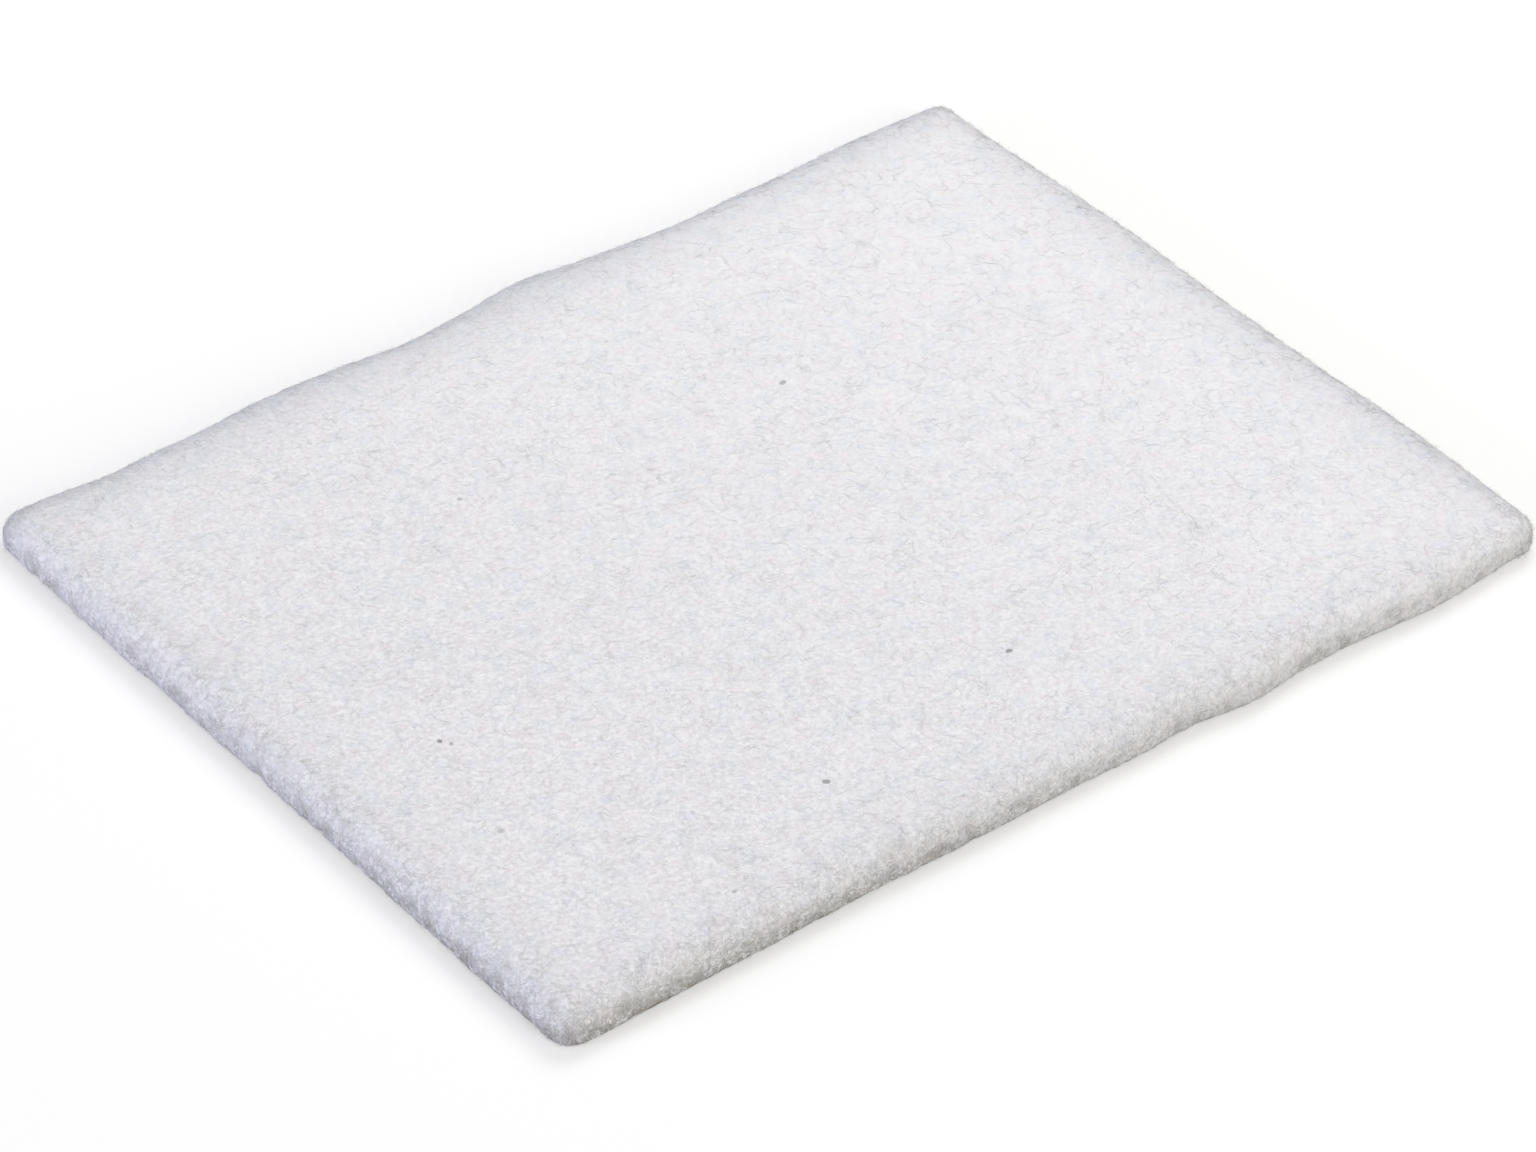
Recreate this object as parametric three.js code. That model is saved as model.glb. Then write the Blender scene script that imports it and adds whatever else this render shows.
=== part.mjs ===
// A scouring pad of bonded nylon web: one thin slab, cut out of a sheet with a blade.
// Sizes are in millimetres. The long side runs along X and the short side along Y.
// The pad lies on its flat lower face at z = 0, with the middle of its outline over the origin.
import * as THREE from 'three';
import { mergeVertices } from 'three/addons/utils/BufferGeometryUtils.js';

// The sheet that the pad is cut from, and the corners of the cut.
const LENGTH = 228;
const WIDTH = 179;
const THICKNESS = 8;
const CORNER_RADIUS = 5;

// The cut edge in section. The blade drags the upper face down over the side, which leaves
// a wide round shoulder, and it nips the lower face in, which leaves a small round heel.
const SHOULDER_WIDTH = 6;
const SHOULDER_DROP = 4.6;
const HEEL_WIDTH = 2;
const HEEL_RISE = 2;

// No cut runs quite straight, because the web springs back as the blade passes.
// EDGE_WANDER is the farthest that a side stands out from its straight line, and
// WANDER_DEPTH is how far in from the side the web still moves with it.
const EDGE_WANDER = 2.2;
const WANDER_DEPTH = 16;

// The swellings and hollows of each side, seen from above with X to the right.
// The place and the reach are shares of half the side. The rise is a share of
// EDGE_WANDER, and it is below zero for a hollow.
const BACK_CUT = [
  { at: -0.92, reach: 0.07, rise: 0.30 },
  { at: -0.79, reach: 0.07, rise: -0.30 },
  { at: -0.60, reach: 0.08, rise: -0.22 },
  { at: -0.44, reach: 0.15, rise: 0.55 },
  { at: -0.19, reach: 0.08, rise: -0.46 },
  { at: 0.07, reach: 0.10, rise: 1.00 },
  { at: 0.39, reach: 0.13, rise: -0.68 },
  { at: 0.62, reach: 0.09, rise: -0.30 },
  { at: 0.94, reach: 0.10, rise: -0.22 },
];
const FRONT_CUT = [
  { at: -0.90, reach: 0.11, rise: 0.20 },
  { at: -0.38, reach: 0.18, rise: -0.16 },
  { at: 0.00, reach: 0.11, rise: -0.20 },
  { at: 0.24, reach: 0.07, rise: -0.24 },
  { at: 0.37, reach: 0.07, rise: 0.50 },
  { at: 0.52, reach: 0.12, rise: -0.26 },
  { at: 0.75, reach: 0.09, rise: 0.34 },
  { at: 0.96, reach: 0.09, rise: -0.42 },
];
const RIGHT_CUT = [
  { at: -0.58, reach: 0.26, rise: 0.50 },
  { at: 0.30, reach: 0.12, rise: 0.18 },
  { at: 0.88, reach: 0.24, rise: -0.60 },
];
const LEFT_CUT = [
  { at: -0.95, reach: 0.14, rise: -0.14 },
  { at: 0.60, reach: 0.36, rise: 0.15 },
];

// The upper face isn't dead flat either: the loft of the web sinks by up to LOFT_DIP
// in soft hollows, LOFT_WAVE apart.
const LOFT_DIP = 0.3;
const LOFT_WAVE = 64;

// How finely the slab is divided: cells along X and Y, over the round shoulder, and up the side.
const CELLS_ALONG = 40;
const CELLS_ACROSS = 32;
const CELLS_SHOULDER = 5;
const CELLS_UP = 1;

const WEB_WHITE = new THREE.Color(0.83, 0.83, 0.84);

// The place of one grid line along a side. The lines stand close together over the
// shoulder, at equal turns of a quarter circle, and evenly across the flat.
function gridLine(index, cells, half) {
  const fromNearEnd = Math.min(index, cells - index);
  if (fromNearEnd <= CELLS_SHOULDER) {
    const turn = (Math.PI / 2) * (fromNearEnd / CELLS_SHOULDER);
    const inset = SHOULDER_WIDTH * (1 - Math.cos(turn));
    return (index * 2 > cells ? 1 : -1) * (half - inset);
  }
  const share = (index - CELLS_SHOULDER) / (cells - 2 * CELLS_SHOULDER);
  return (2 * share - 1) * (half - SHOULDER_WIDTH);
}

// The height of a quarter ellipse over its foot, from 0 at the rim to 1 where it turns level.
function quarterRound(depth, width) {
  const out = 1 - Math.min(depth / width, 1);
  return Math.sqrt(1 - out * out);
}

// The sag of the loft: two crossed waves, which vanish where both of them crest.
function loftSag(x, y) {
  const turn = (2 * Math.PI) / LOFT_WAVE;
  const wave = Math.cos(turn * (x + 0.35 * y)) * Math.cos(turn * (0.8 * y - 0.2 * x));
  return (LOFT_DIP * (1 - wave)) / 2;
}

// Heights at a place in plan that lies depth in from the nearest side.
function upperHeight(x, y, depth) {
  const level = THICKNESS - SHOULDER_DROP;
  const round = quarterRound(depth, SHOULDER_WIDTH);
  return level + (SHOULDER_DROP - loftSag(x, y)) * round;
}

function lowerHeight(depth) {
  return HEEL_RISE * (1 - quarterRound(depth, HEEL_WIDTH));
}

// Bends the square rings of the grid into arcs about the corner's own centre.
function roundCorner(x, y) {
  const overX = Math.max(Math.abs(x) - (LENGTH / 2 - CORNER_RADIUS), 0);
  const overY = Math.max(Math.abs(y) - (WIDTH / 2 - CORNER_RADIUS), 0);
  if (overX === 0 || overY === 0) return [x, y];
  const pull = Math.max(overX, overY) / Math.hypot(overX, overY) - 1;
  return [x + Math.sign(x) * overX * pull, y + Math.sign(y) * overY * pull];
}

// How far a side stands out of its straight line at a share of its half length.
function sideWander(cut, share) {
  const swell = cut.map(({ at, reach, rise }) => rise * Math.exp(-(((share - at) / reach) ** 2)));
  return EDGE_WANDER * swell.reduce((sum, each) => sum + each, 0);
}

// How much of a side's wander still moves the web at a depth in from that side.
function wanderHold(depth) {
  return depth >= WANDER_DEPTH ? 0 : Math.cos((Math.PI / 2) * (depth / WANDER_DEPTH)) ** 2;
}

// Moves a place in plan with the four cuts around it.
function followCuts(x, y) {
  const alongX = x / (LENGTH / 2);
  const alongY = y / (WIDTH / 2);
  const right = sideWander(RIGHT_CUT, alongY) * wanderHold(LENGTH / 2 - x);
  const left = sideWander(LEFT_CUT, alongY) * wanderHold(LENGTH / 2 + x);
  const back = sideWander(BACK_CUT, alongX) * wanderHold(WIDTH / 2 - y);
  const front = sideWander(FRONT_CUT, alongX) * wanderHold(WIDTH / 2 + y);
  return [x + right - left, y + back - front];
}

// The slab starts as a box of cells whose corners count from -1 to 1, and each of its
// points goes to its place: onto the grid, round the corner, along the cuts, and up.
function padGeometry() {
  const cellBox = new THREE.BoxGeometry(2, 2, 2, CELLS_ALONG, CELLS_ACROSS, CELLS_UP);
  const points = cellBox.getAttribute('position');
  for (let i = 0; i < points.count; i += 1) {
    const column = Math.round(((points.getX(i) + 1) / 2) * CELLS_ALONG);
    const row = Math.round(((points.getY(i) + 1) / 2) * CELLS_ACROSS);
    const gridX = gridLine(column, CELLS_ALONG, LENGTH / 2);
    const gridY = gridLine(row, CELLS_ACROSS, WIDTH / 2);
    const depth = Math.min(LENGTH / 2 - Math.abs(gridX), WIDTH / 2 - Math.abs(gridY));
    const [x, y] = followCuts(...roundCorner(gridX, gridY));
    const upShare = (points.getZ(i) + 1) / 2;
    const z = THREE.MathUtils.lerp(lowerHeight(depth), upperHeight(x, y, depth), upShare);
    points.setXYZ(i, x, y, z);
  }
  cellBox.deleteAttribute('normal');
  cellBox.deleteAttribute('uv');
  const slab = mergeVertices(cellBox);
  slab.computeBoundingBox();
  const middle = slab.boundingBox.getCenter(new THREE.Vector3());
  slab.translate(-middle.x, -middle.y, 0);
  slab.computeVertexNormals();
  return slab;
}

const pad = new THREE.Mesh(
  padGeometry(),
  new THREE.MeshStandardMaterial({ color: WEB_WHITE, roughness: 0.95, metalness: 0 }),
);
pad.name = 'pad';

const scouringPad = new THREE.Group();
scouringPad.add(pad);

export default scouringPad;
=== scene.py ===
"""A white scouring pad of bonded nylon web, lying flat: its looks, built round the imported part.

Sizes are in metres, in the part's own frame: X along the long side, Y along the short side,
Z up, and the surface that the pad lies on at z = 0.
"""

import logging
import math
from dataclasses import dataclass
from enum import Enum
from functools import cached_property

import bpy
import numpy as np
from mathutils import Matrix, Vector


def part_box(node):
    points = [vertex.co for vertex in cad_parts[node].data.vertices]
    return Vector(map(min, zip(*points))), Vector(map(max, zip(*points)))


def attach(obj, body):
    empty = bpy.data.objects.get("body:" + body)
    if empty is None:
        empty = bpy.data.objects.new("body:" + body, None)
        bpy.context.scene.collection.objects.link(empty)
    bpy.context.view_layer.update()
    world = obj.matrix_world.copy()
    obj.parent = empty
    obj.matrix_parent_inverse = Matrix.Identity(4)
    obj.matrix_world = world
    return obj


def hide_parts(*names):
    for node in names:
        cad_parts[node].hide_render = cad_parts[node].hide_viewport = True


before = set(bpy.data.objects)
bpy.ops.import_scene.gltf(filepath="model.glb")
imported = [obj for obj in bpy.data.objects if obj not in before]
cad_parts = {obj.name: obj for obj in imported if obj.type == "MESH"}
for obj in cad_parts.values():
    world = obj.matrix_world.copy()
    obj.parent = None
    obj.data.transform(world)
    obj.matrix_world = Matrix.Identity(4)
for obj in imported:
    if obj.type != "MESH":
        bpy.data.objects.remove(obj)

LOG = logging.getLogger("scouring_pad")
MM = 0.001
PAD_NODE = "pad"
PAD_BODY = "root"
BAKE_MAP = "OFBake"

Colour = tuple[float, float, float]
Limits = tuple[float, float]
Pair = tuple[float, float]
WHITE: Colour = (1.0, 1.0, 1.0)
RISING: Limits = (0.0, 1.0)
FALLING: Limits = (1.0, 0.0)


# The form of the pad


@dataclass(frozen=True)
class Swelling:
    """A place where a cut side stands out of its straight line, or falls in if the rise is negative.

    at and reach are shares of half the side, and rise is a share of the greatest wander.
    """

    at: float
    reach: float
    rise: float


class Side(Enum):
    """The four cut sides, each with the swellings and hollows along it."""

    BACK = (
        Swelling(-0.92, 0.07, 0.30),
        Swelling(-0.79, 0.07, -0.30),
        Swelling(-0.60, 0.08, -0.22),
        Swelling(-0.44, 0.15, 0.55),
        Swelling(-0.19, 0.08, -0.46),
        Swelling(0.07, 0.10, 1.00),
        Swelling(0.39, 0.13, -0.68),
        Swelling(0.62, 0.09, -0.30),
        Swelling(0.94, 0.10, -0.22),
    )
    FRONT = (
        Swelling(-0.90, 0.11, 0.20),
        Swelling(-0.38, 0.18, -0.16),
        Swelling(0.00, 0.11, -0.20),
        Swelling(0.24, 0.07, -0.24),
        Swelling(0.37, 0.07, 0.50),
        Swelling(0.52, 0.12, -0.26),
        Swelling(0.75, 0.09, 0.34),
        Swelling(0.96, 0.09, -0.42),
    )
    RIGHT = (
        Swelling(-0.58, 0.26, 0.50),
        Swelling(0.30, 0.12, 0.18),
        Swelling(0.88, 0.24, -0.60),
    )
    LEFT = (
        Swelling(-0.95, 0.14, -0.14),
        Swelling(0.60, 0.36, 0.15),
    )

    def wander(self, share: np.ndarray) -> np.ndarray:
        """Sums the side's bell curves: each is its rise times e to minus its squared distance.

        Args:
            share: places along the side, from -1 to 1.

        Returns:
            How far the side stands out there, as a share of the greatest wander.
        """
        bells = [each.rise * np.exp(-(((share - each.at) / each.reach) ** 2)) for each in self.value]
        return np.sum(bells, axis=0)


@dataclass(frozen=True)
class EdgeSection:
    """The edge in section, as a run measured along its surface from the widest line.

    Above zero the run climbs the round shoulder and goes on over the flat face. Below zero
    it goes down the short wall and in under the round heel.
    """

    thickness: float
    shoulder_width: float = 6.0 * MM
    shoulder_drop: float = 4.6 * MM
    heel_width: float = 2.0 * MM
    heel_rise: float = 2.0 * MM
    cut_fade: float = 0.45
    # How far up the painted cut shade reaches, and how it fades.
    cut_shade_fade: float = 1.05
    cut_shade_power: float = 1.25
    rim_shade_reach: float = 10.0 * MM

    @staticmethod
    def quarter_run(width: float, height: float) -> float:
        """Length of a quarter ellipse: a quarter turn of the two half axes' root mean square."""
        return math.pi / 2 * math.sqrt((width**2 + height**2) / 2)

    @cached_property
    def shoulder_run(self) -> float:
        """Run over the shoulder."""
        return self.quarter_run(self.shoulder_width, self.shoulder_drop)

    @cached_property
    def wall_run(self) -> float:
        """Run down the wall between the shoulder and the heel."""
        return self.thickness - self.shoulder_drop - self.heel_rise

    @cached_property
    def heel_run(self) -> float:
        """Run round the heel."""
        return self.quarter_run(self.heel_width, self.heel_rise)

    @cached_property
    def lowest_run(self) -> float:
        """The run at which the heel meets the flat lower face."""
        return -self.wall_run - self.heel_run

    def turns(self, run: np.ndarray) -> tuple[np.ndarray, np.ndarray]:
        """Angles round the shoulder and the heel, each growing with its own part of the run.

        Args:
            run: places along the section.

        Returns:
            The shoulder's and the heel's angle at each, from 0 to a quarter turn.
        """
        shoulder = np.clip(run / self.shoulder_run, 0, 1) * math.pi / 2
        heel = np.clip((-run - self.wall_run) / self.heel_run, 0, 1) * math.pi / 2
        return shoulder, heel

    def inset(self, run: np.ndarray) -> np.ndarray:
        """Distance in from the widest line: width times one minus cosine on each round, then the run.

        Args:
            run: places along the section.

        Returns:
            The distance in at each.
        """
        shoulder, heel = self.turns(run)
        flat = np.maximum(run - self.shoulder_run, 0)
        rounds = self.shoulder_width * (1 - np.cos(shoulder)) + self.heel_width * (1 - np.cos(heel))
        return rounds + flat

    def height(self, run: np.ndarray) -> np.ndarray:
        """Height over the floor: the heel, wall and shoulder each add their rise, the rounds as a sine.

        Args:
            run: places along the section.

        Returns:
            The height at each.
        """
        shoulder, heel = self.turns(run)
        wall = np.clip(run + self.wall_run, 0, self.wall_run)
        return self.heel_rise * (1 - np.sin(heel)) + wall + self.shoulder_drop * np.sin(shoulder)

    def roundness(self, run: np.ndarray) -> np.ndarray:
        """From 0 at the widest line and below to 1 on the flat face."""
        return np.sin(self.turns(run)[0])

    def cut(self, run: np.ndarray) -> np.ndarray:
        """From 1 on the cut wall and heel to 0 over the shoulder: the square of the fade that is left."""
        return np.clip(1 - run / (self.cut_fade * self.shoulder_run), 0, 1) ** 2

    def cut_shade(self, run: np.ndarray) -> np.ndarray:
        """Painted shade on the cut side: from 1 under the heel to 0 near the top of the shoulder."""
        highest = self.cut_shade_fade * self.shoulder_run
        return np.clip((highest - run) / (highest - self.lowest_run), 0, 1) ** self.cut_shade_power

    def rim_shade(self, depth: np.ndarray) -> np.ndarray:
        """The reach of the painted rim shade: from 1 at the cut side to 0 well in from it, as a bell curve
        of the depth in plan.
        """
        return np.exp(-((np.maximum(depth, 0) / self.rim_shade_reach) ** 2))


@dataclass(frozen=True)
class PadForm:
    """The smooth form of the pad, under its fibres: the same slab that the solid part is."""

    section: EdgeSection
    length: float = 228 * MM
    width: float = 179 * MM
    corner_radius: float = 5 * MM
    edge_wander: float = 2.2 * MM
    wander_depth: float = 16 * MM
    loft_dip: float = 0.3 * MM
    loft_wave: float = 64 * MM
    loft_ways: tuple[Pair, Pair] =((1.0, 0.35), (-0.2, 0.8))
    outline_steps: int = 4001
    normal_step: float = 0.05 * MM

    @cached_property
    def half(self) -> np.ndarray:
        """Half the length and half the width."""
        return np.array([self.length, self.width]) / 2

    @cached_property
    def sheet_half(self) -> np.ndarray:
        """Half sizes of the upper face rolled out flat with its shoulder, wall and heel."""
        flat = self.half - self.section.shoulder_width
        return flat + self.section.shoulder_run - self.section.lowest_run

    def insets(self, sheet: np.ndarray) -> tuple[np.ndarray, np.ndarray]:
        """Turns a place on the rolled-out sheet into distances in from the two nearest sides.

        The nearer side takes its inset from the edge's section. Towards a corner the other
        inset grows evenly from that same value to the shoulder's width, so rings never fold.

        Args:
            sheet: rows of x and y on the rolled-out sheet, measured from its middle.

        Returns:
            The insets in x and y as rows, and the run of the nearer side.
        """
        section = self.section
        runs = np.maximum(self.sheet_half - np.abs(sheet), 0) + section.lowest_run
        near, far = runs.min(axis=1), runs.max(axis=1)
        near_inset = section.inset(near)
        span = np.maximum(section.shoulder_run - near, 1e-9)
        along_ring = near_inset + (section.shoulder_width - near_inset) * (far - near) / span
        past_shoulder = section.shoulder_width + far - section.shoulder_run
        far_inset = np.where(far < section.shoulder_run, along_ring, past_shoulder)
        x_is_near = runs[:, 0] <= runs[:, 1]
        inset_x = np.where(x_is_near, near_inset, far_inset)
        inset_y = np.where(x_is_near, far_inset, near_inset)
        return np.stack([inset_x, inset_y], axis=1), near

    def round_corners(self, plan: np.ndarray) -> np.ndarray:
        """Bends square rings into arcs: in a corner, the larger overhang becomes the radius.

        Args:
            plan: rows of x and y, with square corners.

        Returns:
            The rows with round corners.
        """
        over = np.maximum(np.abs(plan) - (self.half - self.corner_radius), 0)
        reach = np.hypot(over[:, 0], over[:, 1])
        in_corner = over.min(axis=1) > 0
        pull = np.where(in_corner, over.max(axis=1) / np.maximum(reach, 1e-12) - 1, 0)
        return plan + np.sign(plan) * over * pull[:, None]

    def follow_cuts(self, plan: np.ndarray) -> np.ndarray:
        """Moves places in plan with the four cuts: each side's wander fades as a squared cosine.

        Args:
            plan: rows of x and y, with straight sides.

        Returns:
            The rows moved.
        """
        share = plan / self.half
        outward = {Side.RIGHT: (0, 1), Side.LEFT: (0, -1), Side.BACK: (1, 1), Side.FRONT: (1, -1)}
        moved = plan.copy()
        for side, (axis, sign) in outward.items():
            depth = np.clip((self.half[axis] - sign * plan[:, axis]) / self.wander_depth, 0, 1)
            hold = np.cos(math.pi / 2 * depth) ** 2
            moved[:, axis] += sign * self.edge_wander * side.wander(share[:, 1 - axis]) * hold
        return moved

    @cached_property
    def middle(self) -> np.ndarray:
        """Middle of the outline's box before it is moved over the origin: half the sum of its limits.

        Returns:
            Its x and y.
        """
        share = np.linspace(-1, 1, self.outline_steps)
        far = np.ones_like(share)
        edges = [(share, far), (share, -far), (far, share), (-far, share)]
        rim = np.concatenate([np.stack(edge, axis=1) for edge in edges]) * self.half
        outline = self.follow_cuts(self.round_corners(rim))
        return (outline.min(axis=0) + outline.max(axis=0)) / 2

    def place_in_plan(self, sheet: np.ndarray) -> tuple[np.ndarray, np.ndarray]:
        """Finds the finished place in plan: half the pad's size less the insets, then rounded and cut.

        Args:
            sheet: rows of x and y on the rolled-out sheet.

        Returns:
            Rows of x and y, and the run of the nearer side.
        """
        inset, run = self.insets(sheet)
        plan = np.sign(sheet) * (self.half - inset)
        return self.follow_cuts(self.round_corners(plan)) - self.middle, run

    def loft_sag(self, plan: np.ndarray) -> np.ndarray:
        """How far the loft sinks: half the dip times one less the product of two crossed cosine waves.

        Args:
            plan: rows of x and y.

        Returns:
            The sag at each.
        """
        turn = 2 * math.pi / self.loft_wave
        first, second = (turn * (plan + self.middle) @ np.transpose(self.loft_ways)).T
        return self.loft_dip * (1 - np.cos(first) * np.cos(second)) / 2

    def upper(self, sheet: np.ndarray) -> np.ndarray:
        """Places on the upper face, shoulder, wall and heel.

        Args:
            sheet: rows of x and y on the rolled-out sheet.

        Returns:
            Rows of x, y and z: the plan place, lifted by the edge's section less the loft's sag.
        """
        plan, run = self.place_in_plan(sheet)
        height = self.section.height(run) - self.loft_sag(plan) * self.section.roundness(run)
        return np.column_stack([plan, height])

    def lower(self, sheet: np.ndarray) -> np.ndarray:
        """Places on the flat lower face, on the same grid: the plan lines alone, at z = 0.

        A grid line's inset here is the one that it has where it crosses the heel's inner ring.

        Args:
            sheet: rows of x and y on the rolled-out sheet.

        Returns:
            Rows of x, y and z.
        """
        section = self.section
        runs = np.maximum(self.sheet_half - np.abs(sheet), 0) + section.lowest_run
        span = section.shoulder_run - section.lowest_run
        on_ring = section.heel_width + (section.shoulder_width - section.heel_width) * (
            (runs - section.lowest_run) / span
        )
        past = section.shoulder_width + runs - section.shoulder_run
        inset = np.where(runs < section.shoulder_run, on_ring, past)
        plan = np.sign(sheet) * (self.half - inset)
        plan = self.follow_cuts(self.round_corners(plan)) - self.middle
        return np.column_stack([plan, np.zeros(len(plan))])

    def frame_at(self, sheet: np.ndarray) -> tuple[np.ndarray, np.ndarray]:
        """Places on the upper face with their outward normals.

        The normal is the cross product of two small steps over the sheet, one each way.

        Args:
            sheet: rows of x and y on the rolled-out sheet.

        Returns:
            Rows of places, and rows of unit normals.
        """
        step = self.normal_step
        place = self.upper(sheet)
        along_x = self.upper(sheet + [step, 0]) - self.upper(sheet - [step, 0])
        along_y = self.upper(sheet + [0, step]) - self.upper(sheet - [0, step])
        return place, unit(np.cross(along_x, along_y))


def unit(vectors: np.ndarray) -> np.ndarray:
    """Scales rows to unit length."""
    return vectors / np.maximum(np.linalg.norm(vectors, axis=-1, keepdims=True), 1e-12)


# The web's relief


class WebNoise:
    """Smooth random values through space, the same in each run."""

    def __init__(self, seed: int, cells: int = 40) -> None:
        """Draws the lattice.

        Args:
            seed: the seed of the draw.
            cells: lattice points each way, after which the values repeat.
        """
        self.cells = cells
        self.values = np.random.default_rng(seed).uniform(-1, 1, (cells, cells, cells))

    def at(self, points: np.ndarray, spacing: float) -> np.ndarray:
        """Blends the eight lattice values round each point by smooth steps.

        Args:
            points: rows of x, y and z.
            spacing: distance between lattice points.

        Returns:
            One value between -1 and 1 for each point.
        """
        scaled = points / spacing
        low = np.floor(scaled).astype(int)
        part = scaled - low
        part = part * part * (3 - 2 * part)
        total = np.zeros(len(points))
        for corner in np.ndindex(2, 2, 2):
            weight = np.prod(np.where(corner, part, 1 - part), axis=1)
            x, y, z = ((low + corner) % self.cells).T
            total += weight * self.values[x, y, z]
        return total


@dataclass(frozen=True)
class WebRelief:
    """How far the fibre clumps stand out of the smooth form and the open pores sink into it."""

    clump_spacing: float = 2.1 * MM
    bunch_spacing: float = 4.4 * MM
    pore_spacing: float = 2.2 * MM
    face_height: float = 0.10 * MM
    edge_height: float = 0.20 * MM
    face_pore: float = 0.12 * MM
    edge_pore: float = 0.42 * MM
    clump_shift: float = 0.37
    clump_share: float = 0.6
    pore_level: float = 0.18
    edge_level: float = 0.02
    pore_span: float = 0.6
    pore_power: float = 1.5
    seed: int = 11

    def offsets(self, points: np.ndarray, edge: np.ndarray) -> tuple[np.ndarray, np.ndarray]:
        """Works out the relief along the outward normal.

        Clumps are the sum of two noises. A pore opens where a third noise passes a level, which
        is lower on the cut edge, and deepens as a power of what is over that level.

        Args:
            points: rows of x, y and z on the smooth form.
            edge: from 0 on the flat face to 1 on the cut edge.

        Returns:
            The offsets, and how deep in a pore each point lies, from 0 to 1.
        """
        noise = WebNoise(self.seed)
        clumps = noise.at(points + self.clump_shift * self.clump_spacing, self.clump_spacing)
        bunches = noise.at(points, self.bunch_spacing)
        clumps = self.clump_share * clumps + (1 - self.clump_share) * bunches
        open_web = WebNoise(self.seed + 1).at(points, self.pore_spacing)
        level = self.pore_level + (self.edge_level - self.pore_level) * edge
        pore = np.clip((open_web - level) / self.pore_span, 0, 1) ** self.pore_power
        height = self.face_height + (self.edge_height - self.face_height) * edge
        depth = self.face_pore + (self.edge_pore - self.face_pore) * edge
        return height * clumps - depth * pore, pore


# Mesh helpers


def new_piece(
    name: str, points: np.ndarray, faces: np.ndarray, ends: np.ndarray | None = None
) -> bpy.types.Object:
    """Makes a smooth-shaded mesh object from whole arrays.

    Args:
        name: the piece's name.
        points: rows of x, y and z.
        faces: rows of four corners.
        ends: rows of three corners that follow the quads, if there are any.

    Returns:
        The new object, linked to the scene, at the origin.
    """
    ends = np.empty((0, 3), int) if ends is None else ends
    corners = np.concatenate([faces.ravel(), ends.ravel()]).astype(np.int32)
    counts = np.concatenate([np.full(len(faces), 4), np.full(len(ends), 3)]).astype(np.int32)
    starts = np.concatenate([[0], np.cumsum(counts)[:-1]]).astype(np.int32)
    mesh = bpy.data.meshes.new(name)
    mesh.vertices.add(len(points))
    mesh.vertices.foreach_set("co", points.astype(np.float32).ravel())
    mesh.loops.add(len(corners))
    mesh.loops.foreach_set("vertex_index", corners)
    mesh.polygons.add(len(counts))
    mesh.polygons.foreach_set("loop_start", starts)
    mesh.polygons.foreach_set("use_smooth", np.ones(len(counts), bool))
    mesh.update(calc_edges=True)
    mesh.validate()
    piece = bpy.data.objects.new(name, mesh)
    bpy.context.scene.collection.objects.link(piece)
    return piece


def add_map(piece: bpy.types.Object, corner_places: np.ndarray) -> None:
    """Gives a piece its UV map, one row of u and v for each face corner in order."""
    layer = piece.data.uv_layers.new(name=BAKE_MAP)
    layer.uv.foreach_set("vector", corner_places.astype(np.float32).ravel())


def add_value(piece: bpy.types.Object, name: str, values: np.ndarray) -> None:
    """Stores one number for each vertex, for the piece's material to read."""
    layer = piece.data.attributes.new(name=name, type="FLOAT", domain="POINT")
    layer.data.foreach_set("value", values.astype(np.float32))


def vertex_normals(points: np.ndarray, faces: np.ndarray) -> np.ndarray:
    """Sums the cross products of each quad's diagonals at its corners, and makes them unit length.

    Args:
        points: rows of x, y and z.
        faces: rows of four corners.

    Returns:
        One unit normal for each point.
    """
    a, b, c, d = (points[faces[:, k]] for k in range(4))
    normal = np.cross(c - a, d - b)
    total = np.zeros_like(points)
    for k in range(4):
        np.add.at(total, faces[:, k], normal)
    return unit(total)


def grid_faces(index: np.ndarray) -> np.ndarray:
    """Quads between neighbouring entries of a grid of vertex numbers, facing up over x and y."""
    corners = [index[:-1, :-1], index[1:, :-1], index[1:, 1:], index[:-1, 1:]]
    return np.stack([corner.ravel() for corner in corners], axis=1)


# Finishes


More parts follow.
